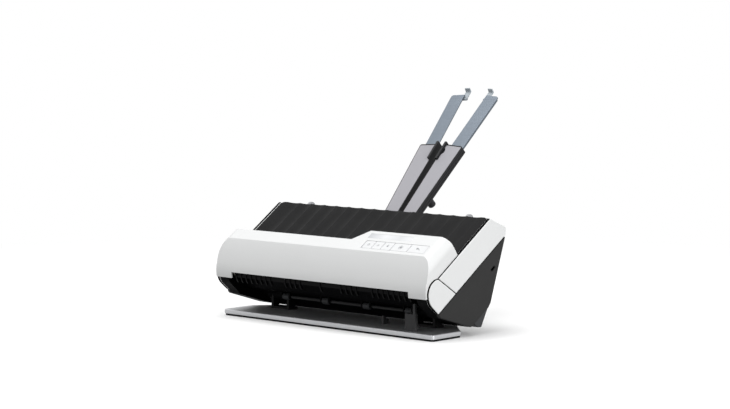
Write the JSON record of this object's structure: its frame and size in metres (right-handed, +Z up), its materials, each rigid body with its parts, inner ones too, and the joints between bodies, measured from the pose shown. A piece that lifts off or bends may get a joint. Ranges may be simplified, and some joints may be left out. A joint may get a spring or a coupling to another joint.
{
  "type": "sheet fed document scanner",
  "caption": "Desktop sheet fed scanner on a flat tilting stand: hinged white front cover with keys and display, fluted input deck, splayed pull-out tray arms with stops.",
  "frame": {"origin": "on the table, under the middle of the stand, at the middle of its front-to-back depth", "axes": "+X is the scanner's right seen from the front, +Y is back towards the tray, +Z is up"},
  "size_m": [0.3, 0.2609, 0.2401],
  "materials": {
    "plate_aluminium": "brushed, clear bevelled edge",
    "pad_rubber": "matt",
    "black_plastic": "fine grain",
    "bracket_steel": "dark coated",
    "steel": "ground",
    "casing_black": "fine grain",
    "cover_white": "fine satin grain",
    "panel_black": "satin",
    "guide_black": "polished",
    "sensor_black": "glass topped",
    "motor_steel": "drawn can",
    "gear_plastic": "natural",
    "tyre_rubber": "ribbed",
    "roller_grey": "matt",
    "board_green": "solder mask",
    "port_metal": "plated",
    "port_black": "matt",
    "display_glass": "silvery gradient",
    "button_white": "satin",
    "guide_grey": "satin",
    "arm_black": "fine grain",
    "inset_grey": "satin",
    "extension_metal": "blue-grey coated sheet",
    "tab_grey": "satin"
  },
  "bodies": {
    "stand": {"stand_plate": "plate_aluminium", "stand_pad": "pad_rubber", "support_post": "black_plastic", "hinge_bracket_left": "bracket_steel", "hinge_bracket_right": "bracket_steel", "tilt_pins": "steel", "recline_stop": "black_plastic"},
    "scanner": {"base_casing": "casing_black", "side_cover_left": "casing_black", "side_cover_right": "casing_black", "side_trim_left": "cover_white", "side_trim_right": "cover_white", "hinge_cap_left": "cover_white", "hinge_cap_right": "cover_white", "input_panel": "panel_black", "lower_guide": "guide_black", "lower_sensor_bar": "sensor_black", "motor": "motor_steel", "main_board": "board_green", "usb_port": "port_metal", "power_inlet": "port_black", "rear_foot": "roller_grey", "casing_screws": "steel", "cover_hinge_pins": "steel"},
    "front_cover": {"cover_shell": "cover_white", "cover_guide": "guide_black", "upper_sensor_bar": "sensor_black", "display_window": "display_glass", "button_board": "board_green"},
    "feed_roller": {"feed_shaft": "steel", "feed_tyres": "tyre_rubber", "feed_gear": "gear_plastic"},
    "exit_roller": {"exit_shaft": "steel", "exit_tyres": "tyre_rubber", "exit_gear": "gear_plastic"},
    "idler": {"idler_gear": "gear_plastic"},
    "motor_rotor": {"motor_pinion": "gear_plastic"},
    "guide_roller": {"guide_rollers": "roller_grey", "guide_axle": "black_plastic"},
    "separation_roller": {"separation_shaft": "steel", "separation_tyres": "tyre_rubber"},
    "guide_left": {"edge_guide_left": "guide_grey"},
    "guide_right": {"edge_guide_right": "guide_grey"},
    "guide_gear": {"guide_pinion": "gear_plastic"},
    "tray": {"tray_carriage": "black_plastic"},
    "arm_left": {"tray_arm_left": "arm_black", "arm_inset_left": "inset_grey"},
    "arm_right": {"tray_arm_right": "arm_black", "arm_inset_right": "inset_grey", "tray_knob": "arm_black"},
    "extension_left": {"tray_extension_left": "extension_metal"},
    "extension_right": {"tray_extension_right": "extension_metal"},
    "stop_left": {"stop_tab_left": "tab_grey"},
    "stop_right": {"stop_tab_right": "tab_grey"},
    "power_button_body": {"power_button": "button_white"},
    "menu_button_body": {"menu_button": "button_white"},
    "stop_button_body": {"stop_button": "button_white"},
    "single_side_button_body": {"single_side_button": "button_white"},
    "double_side_button_body": {"double_side_button": "button_white"}
  },
  "joints": [
    {"name": "tilt", "type": "hinge", "parent": "stand", "child": "scanner", "pos_m": [0, 0, 0.0226], "axis": [1, 0, 0], "range_deg": [0, 24]},
    {"name": "cover_hinge", "type": "hinge", "parent": "scanner", "child": "front_cover", "pos_m": [0, -0.03764, 0.04619], "axis": [1, 0, 0], "range_deg": [0, 50]},
    {"name": "feed_spin", "type": "hinge", "parent": "scanner", "child": "feed_roller", "pos_m": [0, -0.02571, 0.06153], "axis": [1, 0, 0], "continuous": true},
    {"name": "exit_spin", "type": "hinge", "parent": "scanner", "child": "exit_roller", "pos_m": [0, -0.04525, 0.04986], "axis": [1, 0, 0], "continuous": true},
    {"name": "idler_spin", "type": "hinge", "parent": "scanner", "child": "idler", "pos_m": [0, -0.03426, 0.05201], "axis": [1, 0, 0], "continuous": true},
    {"name": "pinion_spin", "type": "hinge", "parent": "scanner", "child": "motor_rotor", "pos_m": [0, -0.01459, 0.06023], "axis": [1, 0, 0], "continuous": true},
    {"name": "guide_roller_spin", "type": "hinge", "parent": "scanner", "child": "guide_roller", "pos_m": [0, -0.00987, 0.0218], "axis": [1, 0, 0], "continuous": true},
    {"name": "separation_spin", "type": "hinge", "parent": "front_cover", "child": "separation_roller", "pos_m": [0, -0.03377, 0.07334], "axis": [1, 0, 0], "continuous": true},
    {"name": "power_button_press", "type": "slide", "parent": "front_cover", "child": "power_button_body", "axis": [0, 0.5635, -0.8261], "range_m": [0, 0.0006], "stiffness_N_per_m": 800, "springref_m": -0.0004},
    {"name": "menu_button_press", "type": "slide", "parent": "front_cover", "child": "menu_button_body", "axis": [0, 0.5635, -0.8261], "range_m": [0, 0.0006], "stiffness_N_per_m": 800, "springref_m": -0.0004},
    {"name": "stop_button_press", "type": "slide", "parent": "front_cover", "child": "stop_button_body", "axis": [0, 0.5635, -0.8261], "range_m": [0, 0.0006], "stiffness_N_per_m": 800, "springref_m": -0.0004},
    {"name": "single_side_button_press", "type": "slide", "parent": "front_cover", "child": "single_side_button_body", "axis": [0, 0.5635, -0.8261], "range_m": [0, 0.0006], "stiffness_N_per_m": 800, "springref_m": -0.0004},
    {"name": "double_side_button_press", "type": "slide", "parent": "front_cover", "child": "double_side_button_body", "axis": [0, 0.5635, -0.8261], "range_m": [0, 0.0006], "stiffness_N_per_m": 800, "springref_m": -0.0004},
    {"name": "guide_left_slide", "type": "slide", "parent": "scanner", "child": "guide_left", "axis": [1, 0, 0], "range_m": [0, 0.072]},
    {"name": "guide_right_slide", "type": "slide", "parent": "scanner", "child": "guide_right", "axis": [1, 0, 0], "range_m": [-0.072, 0]},
    {"name": "guide_pinion_turn", "type": "hinge", "parent": "scanner", "child": "guide_gear", "pos_m": [0, 0.05156, 0.10924], "axis": [0, -0.4125, -0.9109], "range_deg": [0, 830]},
    {"name": "tray_slide", "type": "slide", "parent": "scanner", "child": "tray", "axis": [0, 0.6997, 0.7145], "range_m": [-0.072, 0]},
    {"name": "arm_splay_left", "type": "hinge", "parent": "tray", "child": "arm_left", "pos_m": [-0.0096, 0.0534, 0.0921], "axis": [0, -0.7145, 0.6997], "range_deg": [-1.8, 0]},
    {"name": "extension_slide_left", "type": "slide", "parent": "arm_left", "child": "extension_left", "axis": [-0.0819, 0.6973, 0.7121], "range_m": [-0.05, 0]},
    {"name": "stop_fold_left", "type": "hinge", "parent": "extension_left", "child": "stop_left", "pos_m": [-0.01519, 0.19624, 0.22753], "axis": [-0.9966, -0.0573, -0.0585], "range_deg": [0, 70]},
    {"name": "arm_splay_right", "type": "hinge", "parent": "tray", "child": "arm_right", "pos_m": [0.0096, 0.0534, 0.0921], "axis": [0, -0.7145, 0.6997], "range_deg": [0, 1.8]},
    {"name": "extension_slide_right", "type": "slide", "parent": "arm_right", "child": "extension_right", "axis": [0.0819, 0.6973, 0.7121], "range_m": [-0.05, 0]},
    {"name": "stop_fold_right", "type": "hinge", "parent": "extension_right", "child": "stop_right", "pos_m": [0.01519, 0.19624, 0.22753], "axis": [-0.9966, 0.0573, 0.0585], "range_deg": [0, 70]}
  ],
  "couplings": [
    {"joint": "exit_spin", "follows": "feed_spin", "ratio": 1.3333},
    {"joint": "idler_spin", "follows": "feed_spin", "ratio": -1},
    {"joint": "pinion_spin", "follows": "feed_spin", "ratio": -1.3333},
    {"joint": "guide_right_slide", "follows": "guide_left_slide", "ratio": -1},
    {"joint": "guide_pinion_turn", "follows": "guide_left_slide", "rad_per_m": 200}
  ]
}
